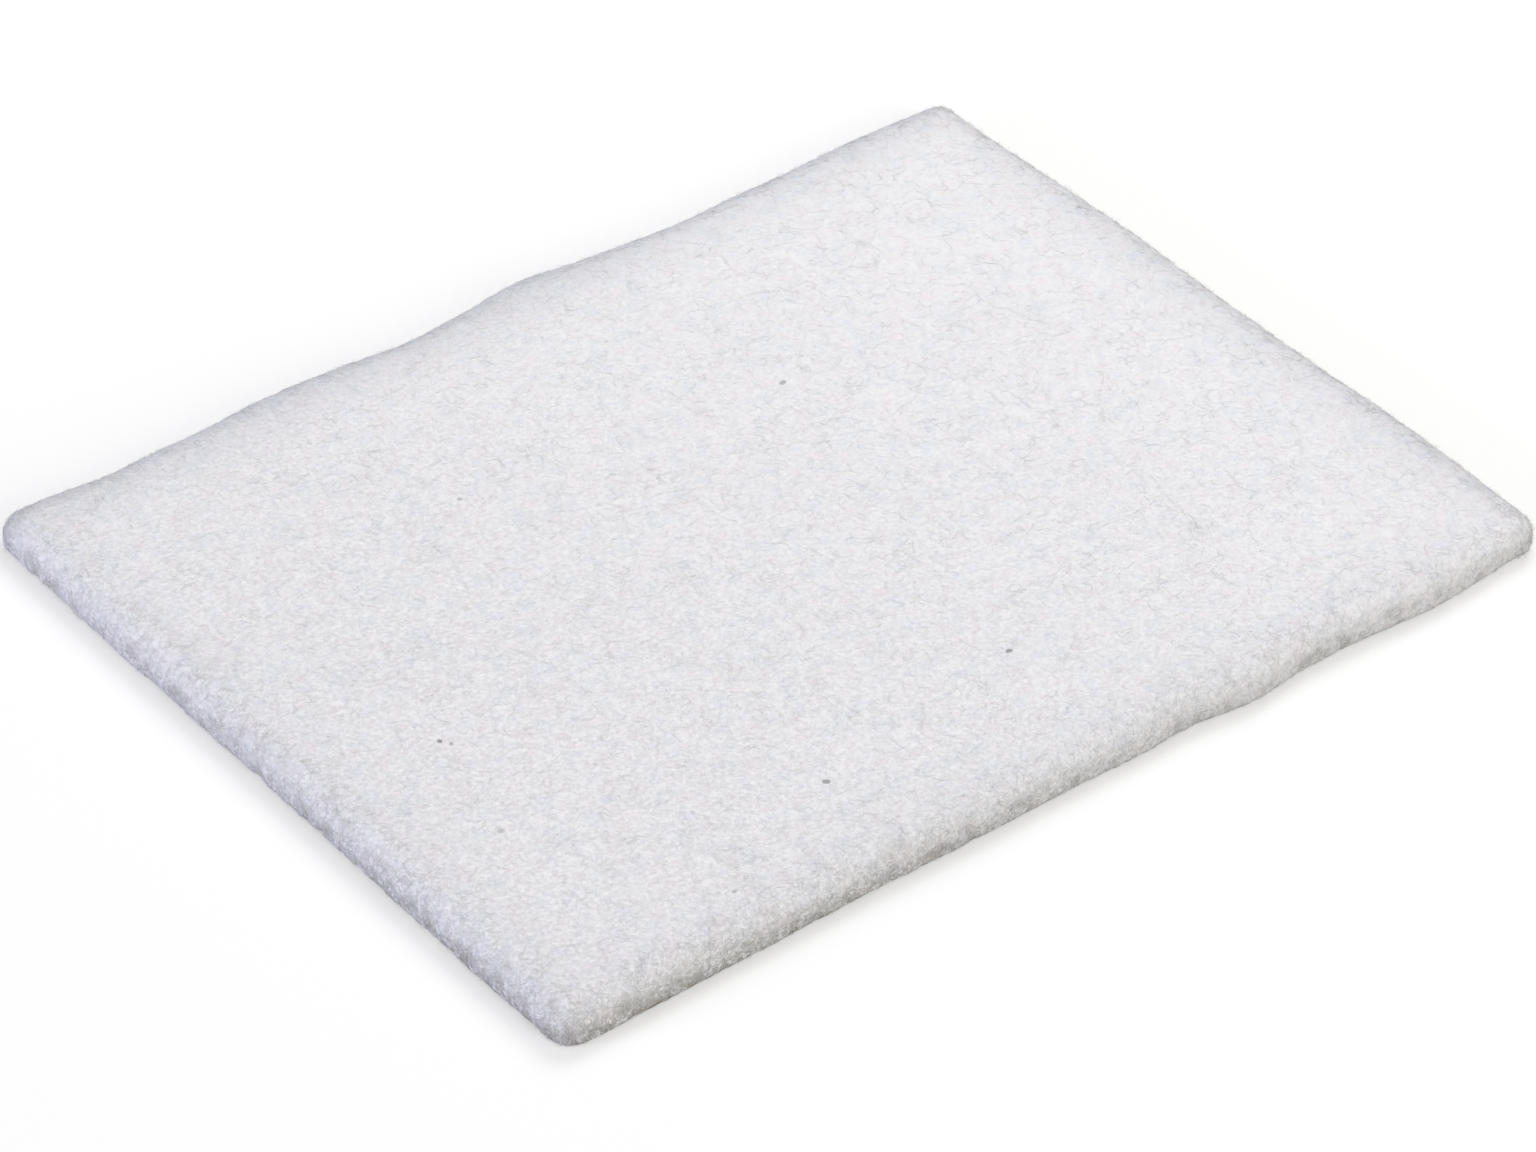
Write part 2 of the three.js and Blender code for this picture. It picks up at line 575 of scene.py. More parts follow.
class NodeBench:
    """A short way to lay out the nodes of one material."""

    def __init__(self, name: str) -> None:
        """Starts a material with its shader and output.

        Args:
            name: the material's name.
        """
        self.material = bpy.data.materials.new(name)
        self.material.use_nodes = True
        self.tree = self.material.node_tree
        self.shader = self.tree.nodes["Principled BSDF"]
        self.output = self.tree.nodes["Material Output"]

    def add(self, kind: str, inputs: dict | None = None, **settings: object) -> bpy.types.Node:
        """Adds a node, sets its options, and sets or links its inputs.

        Args:
            kind: the node's type without its ShaderNode prefix.
            inputs: input names or numbers, each with a value or a socket to link from.
            **settings: the node's own options.

        Returns:
            The node.
        """
        node = self.tree.nodes.new("ShaderNode" + kind)
        for key, value in settings.items():
            setattr(node, key, value)
        for key, value in (inputs or {}).items():
            self.feed(node.inputs[key], value)
        return node

    def feed(self, socket: bpy.types.NodeSocket, value: object) -> None:
        """Links a socket to another, or gives it a constant.

        Args:
            socket: the input.
            value: the output to link from, or the constant.
        """
        if isinstance(value, bpy.types.NodeSocket):
            self.tree.links.new(value, socket)
        else:
            socket.default_value = value

    def maths(self, operation: str, *values: object) -> bpy.types.NodeSocket:
        """Adds one Math node and returns its result."""
        return self.add("Math", dict(enumerate(values)), operation=operation).outputs[0]

    def spread(self, value: object, limits: Limits, to: Limits = RISING) -> bpy.types.NodeSocket:
        """Maps a value from two limits onto two new ones, by a smooth step.

        Args:
            value: the value, or the socket that gives it.
            limits: where the step starts and ends.
            to: what it starts and ends at.

        Returns:
            The socket of the result.
        """
        ends = {"From Min": limits[0], "From Max": limits[1], "To Min": to[0], "To Max": to[1]}
        node = self.add("MapRange", {"Value": value, **ends}, interpolation_type="SMOOTHSTEP")
        return node.outputs["Result"]

    def blend(self, share: object, first: object, second: object, mode: str = "MIX") -> bpy.types.NodeSocket:
        """Mixes two colours.

        Args:
            share: how much of the second, from 0 to 1.
            first: a colour or a socket.
            second: a colour or a socket.
            mode: the way of blending.

        Returns:
            The socket of the result.
        """
        node = self.add("Mix", data_type="RGBA", blend_type=mode)
        self.feed(node.inputs[0], share)
        self.feed(node.inputs[6], first)
        self.feed(node.inputs[7], second)
        return node.outputs[2]

    def places(self) -> bpy.types.NodeSocket:
        """The piece's own coordinates, in metres."""
        return self.add("TexCoord").outputs["Object"]

    def stored(self, name: str) -> bpy.types.NodeSocket:
        """A value that the mesh stores for each vertex."""
        return self.add("Attribute", attribute_name=name).outputs["Fac"]

    def noise(
        self, places: object, cells: float, detail: float = 2.0, roughness: float = 0.5
    ) -> bpy.types.NodeSocket:
        """Adds a noise with the given number of cells to the metre, and gives its value."""
        inputs = {"Vector": places, "Scale": cells, "Detail": detail, "Roughness": roughness}
        return self.add("TexNoise", inputs).outputs["Fac"]


def rgba(colour: Colour) -> tuple[float, float, float, float]:
    """Adds full alpha to a colour."""
    return (*colour, 1.0)


@dataclass(frozen=True)
class WebFinish:
    """The web's face: near white, a fine felt of crimped fibres and open pores, with painted shade and a
    painted highlight.
    """

    bright: Colour = (0.905, 0.899, 0.913)
    dull: Colour = (0.772, 0.766, 0.787)
    # The white that the painted highlight evens the felt to, a little brighter than its mean.
    even: Colour = (0.865, 0.862, 0.868)
    rosy: Colour = (1.0, 0.968, 0.983)
    cool: Colour = (0.955, 0.970, 1.0)
    # Painted shade: a cool grey that darkens the rims, most at the back, less at the right, least at the
    # front and left.
    rim_shade: Colour = (0.79, 0.80, 0.84)
    # Painted shade: the dark warm grey that stands in for the shade between the fibres.
    pore: Colour = (0.31, 0.285, 0.25)
    roughness: Limits = (0.96, 0.80)
    rough_limits: Limits = (0.3, 0.7)
    specular: float = 0.3
    mottle_cells: float = 1200.0
    cover_limits: Limits = (0.32, 0.72)
    even_share: float = 0.65
    tint_cells: float = 300.0
    rosy_limits: Limits = (0.5, 0.7)
    cool_limits: Limits = (0.3, 0.5)
    crimp_cells: tuple[float, ...] = (620.0, 760.0, 900.0)
    crimp_apart: tuple[float, float, float] = (0.031, 0.017, 0.011)
    crimp_middle: float = 0.5
    crimp_width: float = 0.03
    crimp_cover: float = 0.12
    crimp_shade: float = 0.55
    pore_cells: float = 900.0
    pore_roughness: float = 0.55
    pore_limits: Limits = (0.49, 0.63)
    pore_shade: Limits = (0.03, 0.85)
    open_reach: float = 0.07
    # Painted shade in larger dark patches where the cut is most open.
    tuft_shade_cells: float = 350.0
    tuft_shade_limits: Limits = (0.53, 0.61)
    tuft_shade_open: Limits = (0.38, 0.85)
    hollow_shade: float = 0.8
    bump_depth: Limits = (0.035 * MM, 0.16 * MM)
    even_bump: float = 0.5

    def crimps(self, bench: NodeBench, places: object) -> bpy.types.NodeSocket:
        """Lines of the felt: where a soft noise crosses its middle value, a thin curly ridge runs.

        Args:
            bench: the material's bench.
            places: the piece's own coordinates.

        Returns:
            The height of the highest ridge, from 0 to 1.
        """
        highest: object = 0.0
        for number, cells in enumerate(self.crimp_cells):
            apart = tuple(number * shift for shift in self.crimp_apart)
            moved = bench.add("Mapping", {"Vector": places, "Location": apart}).outputs[0]
            value = bench.noise(moved, cells, 0.0)
            off_ridge = bench.maths("ABSOLUTE", bench.maths("SUBTRACT", value, self.crimp_middle))
            ridge = bench.spread(off_ridge, (0.0, self.crimp_width), FALLING)
            highest = bench.maths("MAXIMUM", ridge, highest)
        return highest

    def felt(self, bench: NodeBench, places: object, cover: object, painted_highlight: object) -> bpy.types.NodeSocket:
        """The felt's white: dull to bright with its cover, evened and lifted by the painted highlight,
        tinted, then greyed by painted rim shade.

        Args:
            bench: the material's bench.
            places: the piece's own coordinates.
            cover: how thickly the fibres cover a place.
            painted_highlight: the painted highlight's share there.

        Returns:
            The colour.
        """
        tint = bench.noise(places, self.tint_cells, 1.0)
        colour = bench.blend(bench.spread(cover, self.cover_limits), rgba(self.dull), rgba(self.bright))
        # Painted highlight: evens the felt towards a brighter white.
        colour = bench.blend(bench.maths("MULTIPLY", painted_highlight, self.even_share), colour, rgba(self.even))
        rosy = bench.spread(tint, self.rosy_limits)
        colour = bench.blend(rosy, colour, rgba(self.rosy), "MULTIPLY")
        cool = bench.spread(tint, self.cool_limits, FALLING)
        colour = bench.blend(cool, colour, rgba(self.cool), "MULTIPLY")
        # Painted shade greys the felt towards the sides.
        return bench.blend(bench.stored("rim_shade"), colour, rgba(self.rim_shade), "MULTIPLY")

    def painted_shade(
        self, bench: NodeBench, places: object, pores: object, crimps: object, open_web: object
    ) -> bpy.types.NodeSocket:
        """The painted shade between the fibres: the darkest of pore, tuft and relief-pore shade, under the
        crimps.

        Args:
            bench: the material's bench.
            places: the piece's own coordinates.
            pores: the fine pores.
            crimps: the ridges that cross them.
            open_web: the reach of the painted shade on the cut side and heel, and the scuffs' real wear.

        Returns:
            The share of the painted pore shade's colour.
        """
        shade = bench.maths("MULTIPLY", pores, bench.spread(open_web, RISING, self.pore_shade))
        # Painted shade in larger patches where the cut is most open.
        tuft_shade = bench.spread(bench.noise(places, self.tuft_shade_cells, 1.0), self.tuft_shade_limits)
        tuft_shade = bench.maths("MULTIPLY", tuft_shade, bench.spread(open_web, self.tuft_shade_open))
        # Painted shade in the pores of the mesh's own relief.
        relief_pore_shade = bench.maths("MULTIPLY", bench.stored("relief_pore_shade"), self.hollow_shade)
        darkest = bench.maths("MAXIMUM", bench.maths("MAXIMUM", shade, tuft_shade), relief_pore_shade)
        return bench.maths("MULTIPLY", darkest, bench.spread(crimps, RISING, (1.0, self.crimp_shade)))

    def make(self) -> bpy.types.Material:
        """Builds the material.

        Returns:
            The material.
        """
        bench = NodeBench("nylon_web_face")
        places = bench.places()
        crimps = self.crimps(bench, places)
        mottle = bench.noise(places, self.mottle_cells)
        # open_web holds painted shade on the cut side and heel, and the scuffs' real wear.
        open_web, painted_highlight = bench.stored("open_web"), bench.stored("painted_highlight")
        cover = bench.maths("ADD", bench.maths("MULTIPLY", crimps, self.crimp_cover), mottle)
        gaps = bench.noise(places, self.pore_cells, 2.0, self.pore_roughness)
        reach = bench.maths("ADD", gaps, bench.maths("MULTIPLY", open_web, self.open_reach))
        pores = bench.spread(reach, self.pore_limits)
        felt = self.felt(bench, places, cover, painted_highlight)
        painted_shade = self.painted_shade(bench, places, pores, crimps, open_web)
        # The pore colour is painted shade: it darkens the felt between fibres, most on the cut side and
        # heel.
        bench.feed(bench.shader.inputs["Base Color"], bench.blend(painted_shade, felt, rgba(self.pore)))
        bench.feed(bench.shader.inputs["Roughness"], bench.spread(mottle, self.rough_limits, self.roughness))
        height = bench.maths("SUBTRACT", bench.maths("ADD", crimps, mottle), pores)
        depth = bench.spread(open_web, RISING, self.bump_depth)
        depth = bench.maths("MULTIPLY", depth, bench.spread(painted_highlight, RISING, (1.0, self.even_bump)))
        bump = bench.add("Bump", {"Height": height, "Distance": depth, "Strength": 1.0})
        bench.feed(bench.shader.inputs["Normal"], bump.outputs[0])
        bench.shader.inputs["Specular IOR Level"].default_value = self.specular
        return bench.material


@dataclass(frozen=True)
class FibreFinish:
    """The loose nylon fibres over the web: clear white, a little glossier than the felt."""

    name: str
    clean: Colour = (0.885, 0.885, 0.890)
    dusty: Colour = (0.800, 0.798, 0.805)
    roughness: Limits = (0.45, 0.7)
    specular: float = 0.35
    tone_cells: float = 260.0
    tone_limits: Limits = (0.35, 0.65)

    def make(self) -> bpy.types.Material:
        """Builds the material: two whites blended by a soft noise, so that fibres differ.

        Returns:
            The material.
        """
        bench = NodeBench(self.name)
        tone = bench.noise(bench.places(), self.tone_cells, 1.0)
        colour = bench.blend(bench.spread(tone, self.tone_limits), rgba(self.clean), rgba(self.dusty))
        bench.feed(bench.shader.inputs["Base Color"], colour)
        bench.feed(bench.shader.inputs["Roughness"], bench.spread(tone, self.tone_limits, self.roughness))
        bench.shader.inputs["Specular IOR Level"].default_value = self.specular
        return bench.material


# The pieces of the pad


@dataclass(frozen=True)
class Scuff:
    """A rubbed place on the upper face, where the web's pores show more."""

    x: float
    y: float
    length: float
    width: float
    turn: float
    strength: float

    def wear(self, points: np.ndarray) -> np.ndarray:
        """Its wear: the strength times e to minus the squares of the distances along and across it.

        Args:
            points: rows of x, y and z.

        Returns:
            The wear at each.
        """
        cosine, sine = math.cos(self.turn), math.sin(self.turn)
        x, y = points[:, 0] - self.x, points[:, 1] - self.y
        along, across = x * cosine + y * sine, y * cosine - x * sine
        return self.strength * np.exp(-((along / self.length) ** 2) - (across / self.width) ** 2)


SCUFFS = (
    Scuff(59.7 * MM, -52.5 * MM, 6.0 * MM, 4.0 * MM, 0.5, 0.26),
    Scuff(51.0 * MM, -61.0 * MM, 6.0 * MM, 3.0 * MM, 1.2, 0.22),
    Scuff(10.6 * MM, -58.0 * MM, 4.0 * MM, 3.0 * MM, 0.2, 0.22),
    Scuff(-2.0 * MM, -69.0 * MM, 7.0 * MM, 4.0 * MM, 0.8, 0.20),
    Scuff(-58.0 * MM, 28.0 * MM, 6.0 * MM, 4.0 * MM, 0.4, 0.20),
    Scuff(-74.0 * MM, 8.0 * MM, 5.0 * MM, 4.0 * MM, 1.0, 0.20),
    Scuff(-25.0 * MM, -45.0 * MM, 8.0 * MM, 4.0 * MM, 0.6, 0.18),
    Scuff(-62.0 * MM, -74.0 * MM, 5.0 * MM, 5.0 * MM, 0.0, 0.22),
)


@dataclass(frozen=True)
class SpeckFinish:
    """Grey grit caught in the web, from dark to pale."""

    dark: Colour = (0.26, 0.255, 0.26)
    pale: Colour = (0.56, 0.555, 0.565)
    roughness: float = 0.9

    def make(self) -> bpy.types.Material:
        """Builds the material: each speck's own paleness blends the two greys.

        Returns:
            The material.
        """
        bench = NodeBench("speck_grit")
        grey = bench.blend(bench.stored("paleness"), rgba(self.dark), rgba(self.pale))
        bench.feed(bench.shader.inputs["Base Color"], grey)
        bench.shader.inputs["Roughness"].default_value = self.roughness
        return bench.material


@dataclass(frozen=True)
class Speck:
    """One tiny crumb of grit, by its place on the upper face, its half width and its paleness."""

    x: float
    y: float
    radius: float
    paleness: float


@dataclass(frozen=True)
class SpeckLot:
    """The few specks caught in the upper face: small uneven flattened crumbs, half sunk in the web."""

    specks: tuple[Speck, ...] = (
        Speck(27.0 * MM, 30.4 * MM, 0.98 * MM, 0.72),
        Speck(9.6 * MM, -58.8 * MM, 0.70 * MM, 0.25),
        Speck(-39.4 * MM, -67.5 * MM, 0.74 * MM, 0.42),
        Speck(-87.1 * MM, -16.4 * MM, 0.58 * MM, 0.25),
        Speck(-85.9 * MM, -18.2 * MM, 0.42 * MM, 0.60),
        Speck(-43.4 * MM, 38.5 * MM, 0.58 * MM, 0.90),
        Speck(-93.0 * MM, -43.1 * MM, 0.50 * MM, 0.90),
        Speck(-70.2 * MM, -81.0 * MM, 0.42 * MM, 0.75),
    )
    columns: int = 14
    rows: int = 8
    flatness: float = 0.42
    unevenness: float = 0.30
    stand_out: float = 0.16 * MM
    lump_size: float = 0.8
    lumps_apart: tuple[float, float, float] = (3.1, 5.7, 1.9)
    seed: int = 31

    def ball(self) -> tuple[np.ndarray, np.ndarray, np.ndarray]:
        """A ball of radius 1 as a grid over its tilt and turn, with a point at each pole.

        Returns:
            Its points, its rows of four corners, and the rows of three that close the poles.
        """
        turn = np.arange(self.columns) / self.columns * 2 * math.pi
        tilt = np.linspace(0, math.pi, self.rows + 2)[1:-1, None]
        level = np.cos(tilt) * np.ones(self.columns)
        rings = np.stack([np.sin(tilt) * np.cos(turn), np.sin(tilt) * np.sin(turn), level], axis=-1)
        points = np.concatenate([rings.reshape(-1, 3), [[0.0, 0.0, 1.0], [0.0, 0.0, -1.0]]])
        grid = np.arange(self.rows * self.columns).reshape(self.rows, self.columns)
        wrapped = np.concatenate([grid, grid[:, :1]], axis=1)
        top, bottom = (np.full(self.columns, grid.size + pole) for pole in (0, 1))
        upper_cap = np.stack([top, wrapped[0, :-1], wrapped[0, 1:]], axis=1)
        lower_cap = np.stack([bottom, wrapped[-1, 1:], wrapped[-1, :-1]], axis=1)
        return points, grid_faces(wrapped), np.concatenate([upper_cap, lower_cap])

    def build(self, form: PadForm, relief: WebRelief) -> bpy.types.Object:
        """Makes all the specks as closed crumbs, each a flattened ball that a noise makes uneven.

        Args:
            form: the pad's form.
            relief: the web's relief, which the specks lie in.

        Returns:
            The finished object with its map and its paleness values.
        """
        plan = np.array([[speck.x, speck.y] for speck in self.specks])
        radius = np.array([speck.radius for speck in self.specks])
        rest = form.upper(plan + form.middle)
        rest[:, 2] += relief.offsets(rest, np.zeros(len(rest)))[0] + self.stand_out - self.flatness * radius
        ball, quads, caps = self.ball()
        number = np.arange(len(plan))[:, None, None]
        lumps = (ball[None] + number * np.array(self.lumps_apart)).reshape(-1, 3)
        swell = WebNoise(self.seed).at(lumps, self.lump_size).reshape(len(plan), len(ball))
        size = radius[:, None] * (1 + self.unevenness * swell)
        points = ball[None] * size[:, :, None] * [1.0, 1.0, self.flatness] + rest[:, None, :]
        all_quads = (quads[None] + number * len(ball)).reshape(-1, 4)
        all_caps = (caps[None] + number * len(ball)).reshape(-1, 3)
        lot = new_piece("specks", points.reshape(-1, 3), all_quads, all_caps)
        add_value(lot, "paleness", np.repeat([speck.paleness for speck in self.specks], len(ball)))
        self.lay_map(lot, len(quads), len(caps))
        return lot

    def lay_map(self, lot: bpy.types.Object, quad_count: int, cap_count: int) -> None:
        """Gives each face a small square cell of the map, in rows.

        Args:
            lot: the piece.
            quad_count: faces of four corners on one speck.
            cap_count: faces of three corners on one speck.
        """
        count = len(self.specks)
        corner = np.array([[0.1, 0.1], [0.9, 0.1], [0.9, 0.9], [0.1, 0.9]])
        side = math.ceil(math.sqrt(count * (quad_count + cap_count)))
        number = np.arange(count * (quad_count + cap_count))
        cell = np.stack([number % side, number // side], axis=1)[:, None, :]
        quads = (cell[: count * quad_count] + corner) / side
        caps = (cell[count * quad_count :] + corner[:3]) / side
        add_map(lot, np.concatenate([quads.reshape(-1, 2), caps.reshape(-1, 2)]))


@dataclass(frozen=True)
class WebSlab:
    """The bonded web itself: one closed skin over both faces and the cut edge."""

    form: PadForm
    relief: WebRelief
    edge_cells: int = 18
    flat_cells: tuple[int, int] = (206, 159)
    floor_gap: float = 0.12 * MM
    # Painted shade on the cut: strongest at this front left corner, and fading with distance from it.
    corner_shade_place: Pair =(-114 * MM, -90 * MM)
    corner_shade_reach: float = 110 * MM
    least_corner_shade: float = 0.42
    # Share of the painted pore shade on the flat face.
    face_pore_shade: float = 0.12
    # Shares of the painted rim shade on the right, and on the front and left.
    right_share: float = 0.58
    front_left_share: float = 0.34
    # The painted highlight's slope and middle.
    highlight_way: Pair = (0.35, 0.15)
    highlight_middle: float = 0.45
    map_size: Pair = (0.98, 0.49)
    upper_map: Pair = (0.01, 0.505)
    lower_map: Pair = (0.01, 0.005)

    def lines(self, axis: int) -> np.ndarray:
        """Places of the grid lines over the rolled-out sheet: finer over the edge than on the flat.

        Args:
            axis: 0 for lines along x, and 1 for lines along y.

        Returns:
            The places, from the lowest up.
        """
        section = self.form.section
        outer = self.form.sheet_half[axis]
        inner = outer - (section.shoulder_run - section.lowest_run)
        edge = np.linspace(outer, inner, self.edge_cells + 1)
        flat = np.linspace(-inner, inner, self.flat_cells[axis] + 1)
        return np.concatenate([-edge[:-1], flat, edge[:-1][::-1]])

    def build(self) -> bpy.types.Object:
        """Makes the slab's mesh.

        The upper sheet is a grid over the face, shoulder, wall and heel. The lower sheet is a
        grid over the flat lower face, and shares the upper sheet's outer ring of vertices.

        Returns:
            The finished object with its map and the values that its finish reads.
        """
        x_lines, y_lines = self.lines(0), self.lines(1)
        shape = (len(x_lines), len(y_lines))
        sheet = np.stack(np.meshgrid(x_lines, y_lines, indexing="ij"), axis=-1).reshape(-1, 2)
        upper_index = np.arange(len(sheet)).reshape(shape)
        inside = np.zeros(shape, bool)
        inside[1:-1, 1:-1] = True
        lower_index = upper_index.copy()
        lower_index[inside] = len(sheet) + np.arange(inside.sum())
        points = np.concatenate([self.form.upper(sheet), self.form.lower(sheet[inside.ravel()])])
        upper_faces = grid_faces(upper_index)
        faces = np.concatenate([upper_faces, grid_faces(lower_index)[:, ::-1]])
        run = self.form.place_in_plan(sheet)[1]
        edge = np.concatenate([self.form.section.cut(run), np.zeros(inside.sum())])
        offset, pore = self.relief.offsets(points, edge)
        points += vertex_normals(points, faces) * offset[:, None]
        points[:, 2] = np.maximum(points[:, 2], self.floor_gap)
        slab = new_piece("pad_web", points, faces)
        # Painted shade on the cut side and heel.
        cut_shade = np.concatenate([self.form.section.cut_shade(run), np.zeros(inside.sum())])
        # Painted shade on the cut is strongest near the front left corner.
        cut_shade *= self.corner_shade(points)
        # Painted shade in the relief's pores: a little on the face, fully on the cut side and heel.
        add_value(slab, "relief_pore_shade", pore * (self.face_pore_shade + (1 - self.face_pore_shade) * cut_shade))
        # The greater of the painted cut shade and the scuffs' real wear.
        add_value(slab, "open_web", np.maximum(cut_shade, self.worn(points)))
        # Painted shade along the sides, strongest at the back.
        add_value(slab, "rim_shade", self.shaded(points))
        # Painted highlight towards the back right.
        add_value(slab, "painted_highlight", self.painted_highlight(points))
        self.lay_map(slab, sheet, faces, len(upper_faces), lower_index)
        return slab

    def shaded(self, points: np.ndarray) -> np.ndarray:
        """How much painted shade greys the web towards its sides: the greatest of their bell curves.

        Args:
            points: rows of x, y and z.

        Returns:
            The share of the painted rim shade's colour, which is 1 at the back.
        """
        plan = points[:, :2] + self.form.middle
        right, back = self.form.section.rim_shade(self.form.half - plan).T
        front_left = self.form.section.rim_shade((self.form.half + plan).min(axis=1))
        return np.max([back, self.right_share * right, self.front_left_share * front_left], axis=0)

    def painted_highlight(self, points: np.ndarray) -> np.ndarray:
        """Painted highlight: how far the felt's white is evened and lifted, a smooth step from the front
        left to the back right.

        Args:
            points: rows of x, y and z.

        Returns:
            From 0 to 1 at each.
        """
        share = points[:, :2] / self.form.half @ np.array(self.highlight_way) + self.highlight_middle
        share = np.clip(share, 0, 1)
        return share * share * (3 - 2 * share)

    def corner_shade(self, points: np.ndarray) -> np.ndarray:
        """How strong the painted shade on the cut is: most at the front left corner, less away from it as a
        bell curve of the distance.
        """
        away = np.hypot(*(points[:, :2] - self.corner_shade_place).T) / self.corner_shade_reach
        return self.least_corner_shade + (1 - self.least_corner_shade) * np.exp(-(away**2))

    def worn(self, points: np.ndarray) -> np.ndarray:
        """How open the web has worn on its upper face: the sum of the scuffs, and 1 at most."""
        total = np.sum([scuff.wear(points) for scuff in SCUFFS], axis=0)
        return np.where(points[:, 2] > self.form.section.thickness / 2, np.minimum(total, 1), 0)

    def lay_map(
        self,
        slab: bpy.types.Object,
        sheet: np.ndarray,
        faces: np.ndarray,
        upper_count: int,
        lower_index: np.ndarray,
    ) -> None:
        """Lays both sheets side by side on the map, each in half of it.

        Args:
            slab: the piece.
            sheet: rows of x and y of the grid, one for each entry of the index.
            faces: all quads, the upper sheet's first.
            upper_count: how many quads the upper sheet has.
            lower_index: the lower sheet's grid of vertex numbers.
        """
        share = sheet / self.form.sheet_half / 2 + 0.5
        place = np.zeros((lower_index.max() + 1, 2))
        place[: len(sheet)] = share
        upper = place[faces[:upper_count]] * self.map_size + self.upper_map
        place[lower_index.ravel()] = share
        lower = place[faces[upper_count:]] * self.map_size + self.lower_map
        add_map(slab, np.concatenate([upper.reshape(-1, 2), lower.reshape(-1, 2)]))


class Face(Enum):
    """The face of the pad that a lot of loose fibres lies on."""

    UPPER = "upper"
    LOWER = "lower"


@dataclass(frozen=True)
class FibreLot:
    """A lot of loose crimped fibres: closed three-sided tubes that taper to both ends."""

    name: str
    face: Face
    seed: int
    count: int = 6200
    edge_share: float = 0.0
    edge_reach: Limits = (0.0, 1.0)
    rings: int = 6
    radius: float = 0.042 * MM
    taper: float = 0.62
    shortest: float = 3.0 * MM
    longest: float = 8.0 * MM
    length_shape: Pair = (1.6, 2.4)
    drift: float = 1.5
    swing: Limits = (0.25, 0.85)
    waves: Limits = (0.8, 1.8)
    lift: Limits = (-0.04 * MM, 0.05 * MM)
    weave: Limits = (0.02 * MM, 0.06 * MM)
    weave_turn: Limits = (2.0, 5.5)
    end_rise: float = 0.09 * MM
    end_power: float = 4.0
    free_rise: Limits = (0.0, 0.0)
    free_power: float = 1.5
    deepest: float = -0.1 * MM
    lower_lift: float = 0.5
    floor_radii: float = 1.3

    def paths(self, form: PadForm, draw: np.random.Generator) -> np.ndarray:
        """Draws each fibre's path over the rolled-out sheet.

        A path steps along a heading that drifts steadily and swings as a sine, the crimp.

        Args:
            form: the pad's form.
            draw: the seeded source of random numbers.

        Returns:
            Places on the sheet, by fibre and ring.
        """
        shape = (self.count, self.rings)
        centre = draw.uniform(-1, 1, (self.count, 2)) * form.sheet_half
        at_edge = draw.random(self.count) < self.edge_share
        which = draw.integers(0, 2, self.count)
        side = draw.choice([-1.0, 1.0], self.count)
        band = form.section.shoulder_run - form.section.lowest_run
        near_edge = side * (form.sheet_half[which] - band * draw.uniform(*self.edge_reach, self.count))
        centre[np.arange(self.count)[at_edge], which[at_edge]] = near_edge[at_edge]
        share = draw.beta(*self.length_shape, self.count)
        length = self.shortest + (self.longest - self.shortest) * share
        along = np.linspace(-0.5, 0.5, self.rings) * np.ones(shape)
        drift = draw.normal(0, self.drift, (self.count, 1)) * along
        waves = draw.uniform(*self.waves, (self.count, 1))
        phase = draw.uniform(0, 2 * math.pi, (self.count, 1))
        swing = draw.uniform(*self.swing, (self.count, 1))
        crimp = swing * np.sin(2 * math.pi * waves * along + phase)
        heading = draw.uniform(0, 2 * math.pi, (self.count, 1)) + drift + crimp
        step = (length / (self.rings - 1))[:, None]
        moves = np.stack([np.cos(heading) * step, np.sin(heading) * step], axis=-1)
        path = np.cumsum(moves, axis=1)
        return centre[:, None, :] + path - path.mean(axis=1, keepdims=True)

    def lifts(self, draw: np.random.Generator) -> np.ndarray:
        """Heights of the rings over the web: a level and a sine weave, and a rise to loose ends.

        Args:
            draw: the seeded source of random numbers.

        Returns:
            The heights, by fibre and ring.
        """
        shape = (self.count, 1)
        along = np.linspace(-1, 1, self.rings)[None, :]
        level = draw.uniform(*self.lift, shape)
        weave = draw.uniform(*self.weave, shape)
        turn = draw.uniform(*self.weave_turn, shape) * along + draw.uniform(0, 2 * math.pi, shape)
        first, last = draw.exponential(self.end_rise, (2, *shape))
        start, finish = np.clip(-along, 0, 1) ** self.end_power, np.clip(along, 0, 1) ** self.end_power
        ends = first * start + last * finish
        free = draw.uniform(*self.free_rise, shape) * ((1 + along) / 2) ** self.free_power
        return level + weave * np.sin(turn) + ends + free

    def centre_lines(self, form: PadForm, relief: WebRelief) -> tuple[np.ndarray, np.ndarray]:
        """Puts the paths on the pad: each ring's centre is its place, moved out by relief and lift.

        Args:
            form: the pad's form.
            relief: the web's relief, which the fibres follow.

        Returns:
            Ring centres and the web's outward normals there, both by fibre and ring.
        """
        draw = np.random.default_rng(self.seed)
        sheet = self.paths(form, draw).reshape(-1, 2)
        lift = self.lifts(draw).reshape(-1, 1)
        if self.face is Face.UPPER:
            place, normal = form.frame_at(sheet)
            edge = form.section.cut(form.place_in_plan(sheet)[1])
            offset = relief.offsets(place, edge)[0][:, None]
            centre = place + normal * (np.maximum(offset, self.deepest) + lift)
        else:
            place = form.lower(sheet)
            normal = np.tile([0.0, 0.0, -1.0], (len(place), 1))
            centre = place + [0, 0, 1] * (self.radius + self.lower_lift * np.abs(lift))
        centre[:, 2] = np.maximum(centre[:, 2], self.floor_radii * self.radius)
        shape = (self.count, self.rings, 3)
        return centre.reshape(shape), normal.reshape(shape)

